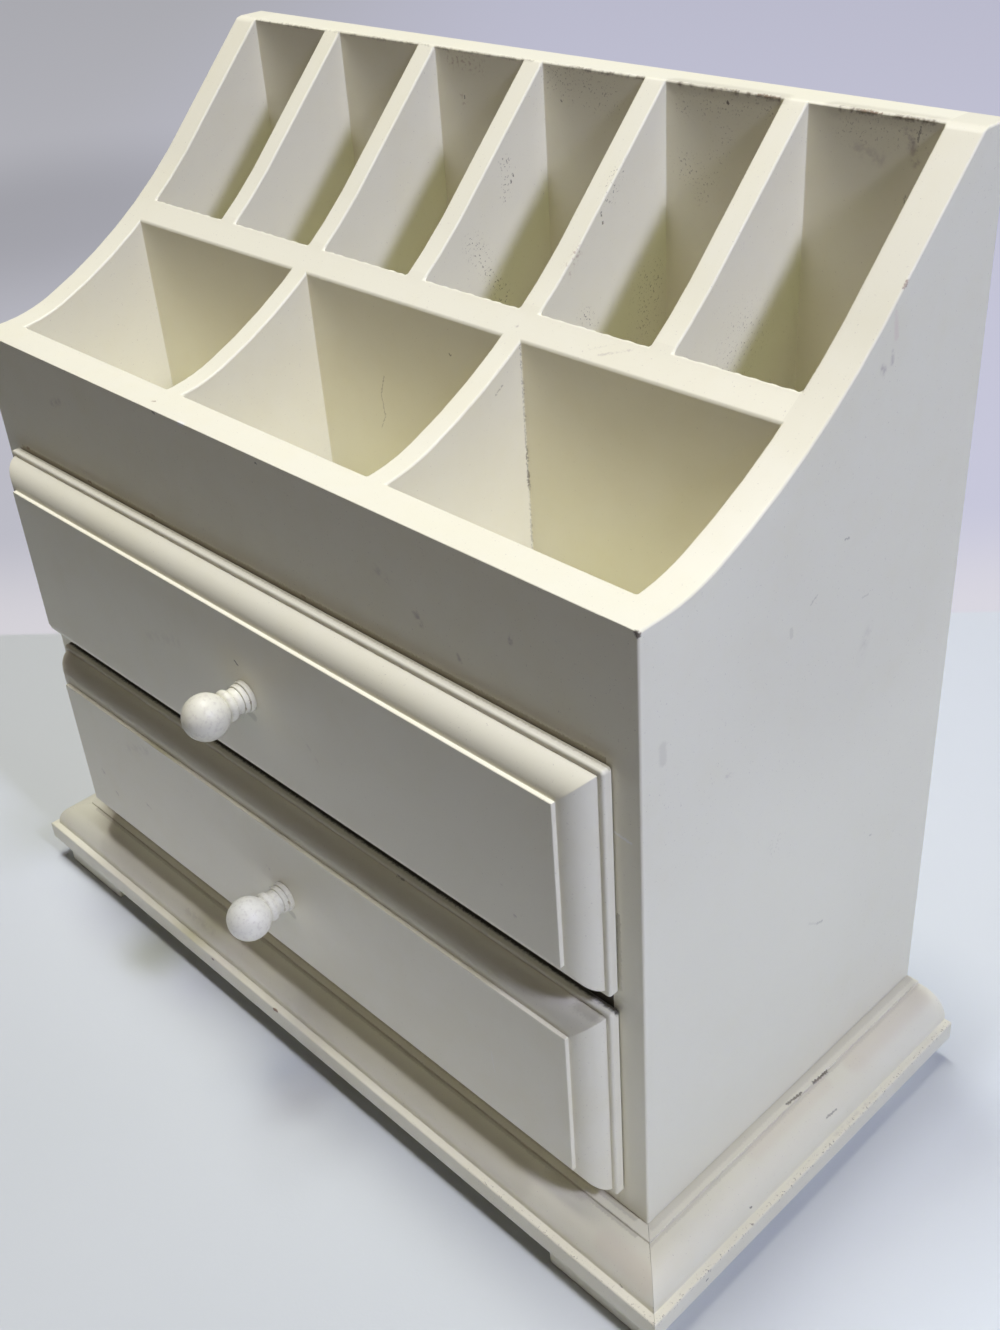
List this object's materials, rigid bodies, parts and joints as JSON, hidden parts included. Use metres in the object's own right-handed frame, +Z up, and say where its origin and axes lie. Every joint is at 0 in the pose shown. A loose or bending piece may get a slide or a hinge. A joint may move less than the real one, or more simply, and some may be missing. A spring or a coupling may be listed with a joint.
{
  "type": "nail polish organizer with drawers",
  "caption": "Free-standing painted wood vanity organizer: an open stepped tray of compartments under a scooped side outline, over two sliding drawers on a moulded base.",
  "frame": {"origin": "middle of the bounding box's underside, on the surface that the feet stand on", "axes": "+X to the right as seen from the front, along the drawers' width; -Y out of the front, the way the drawers pull; +Z up"},
  "size_m": [0.37, 0.1866, 0.3446],
  "materials": {
    "painted_cabinet_board": "satin cream paint over smooth board, softened edges",
    "painted_base_moulding": "satin cream paint over moulded wood, grime in the corners",
    "painted_foot": "satin cream paint, worn underneath",
    "painted_drawer_front": "satin cream paint over moulded wood",
    "painted_knob": "satin white paint over turned wood, chipped",
    "drawer_box_board": "bare sanded board",
    "drawer_bottom_board": "smooth hardboard",
    "screw_steel": "bright zinc plate"
  },
  "bodies": {
    "cabinet": {"side_panel_left": "painted_cabinet_board", "side_panel_right": "painted_cabinet_board", "bottom_panel": "painted_cabinet_board", "middle_shelf": "painted_cabinet_board", "back_panel": "painted_cabinet_board", "tray_floor": "painted_cabinet_board", "tray_front_panel": "painted_cabinet_board", "row_divider": "painted_cabinet_board", "front_divider_1": "painted_cabinet_board", "front_divider_2": "painted_cabinet_board", "rear_divider_1": "painted_cabinet_board", "rear_divider_2": "painted_cabinet_board", "rear_divider_3": "painted_cabinet_board", "rear_divider_4": "painted_cabinet_board", "rear_divider_5": "painted_cabinet_board", "base_board_front": "painted_base_moulding", "base_board_left": "painted_base_moulding", "base_board_right": "painted_base_moulding", "foot_front_left": "painted_foot", "foot_front_right": "painted_foot", "foot_rear_left": "painted_foot", "foot_rear_right": "painted_foot"},
    "lower_drawer": {"lower_drawer_front": "painted_drawer_front", "lower_drawer_sub_front": "drawer_box_board", "lower_drawer_side_left": "drawer_box_board", "lower_drawer_side_right": "drawer_box_board", "lower_drawer_back": "drawer_box_board", "lower_drawer_bottom": "drawer_bottom_board", "lower_drawer_knob": "painted_knob", "lower_drawer_knob_screw": "screw_steel"},
    "upper_drawer": {"upper_drawer_front": "painted_drawer_front", "upper_drawer_sub_front": "drawer_box_board", "upper_drawer_side_left": "drawer_box_board", "upper_drawer_side_right": "drawer_box_board", "upper_drawer_back": "drawer_box_board", "upper_drawer_bottom": "drawer_bottom_board", "upper_drawer_knob": "painted_knob", "upper_drawer_knob_screw": "screw_steel"}
  },
  "joints": [
    {"name": "lower_drawer_slide", "type": "slide", "parent": "cabinet", "child": "lower_drawer", "axis": [0, -1, 0], "range_m": [0, 0.095]},
    {"name": "upper_drawer_slide", "type": "slide", "parent": "cabinet", "child": "upper_drawer", "axis": [0, -1, 0], "range_m": [0, 0.095]}
  ]
}
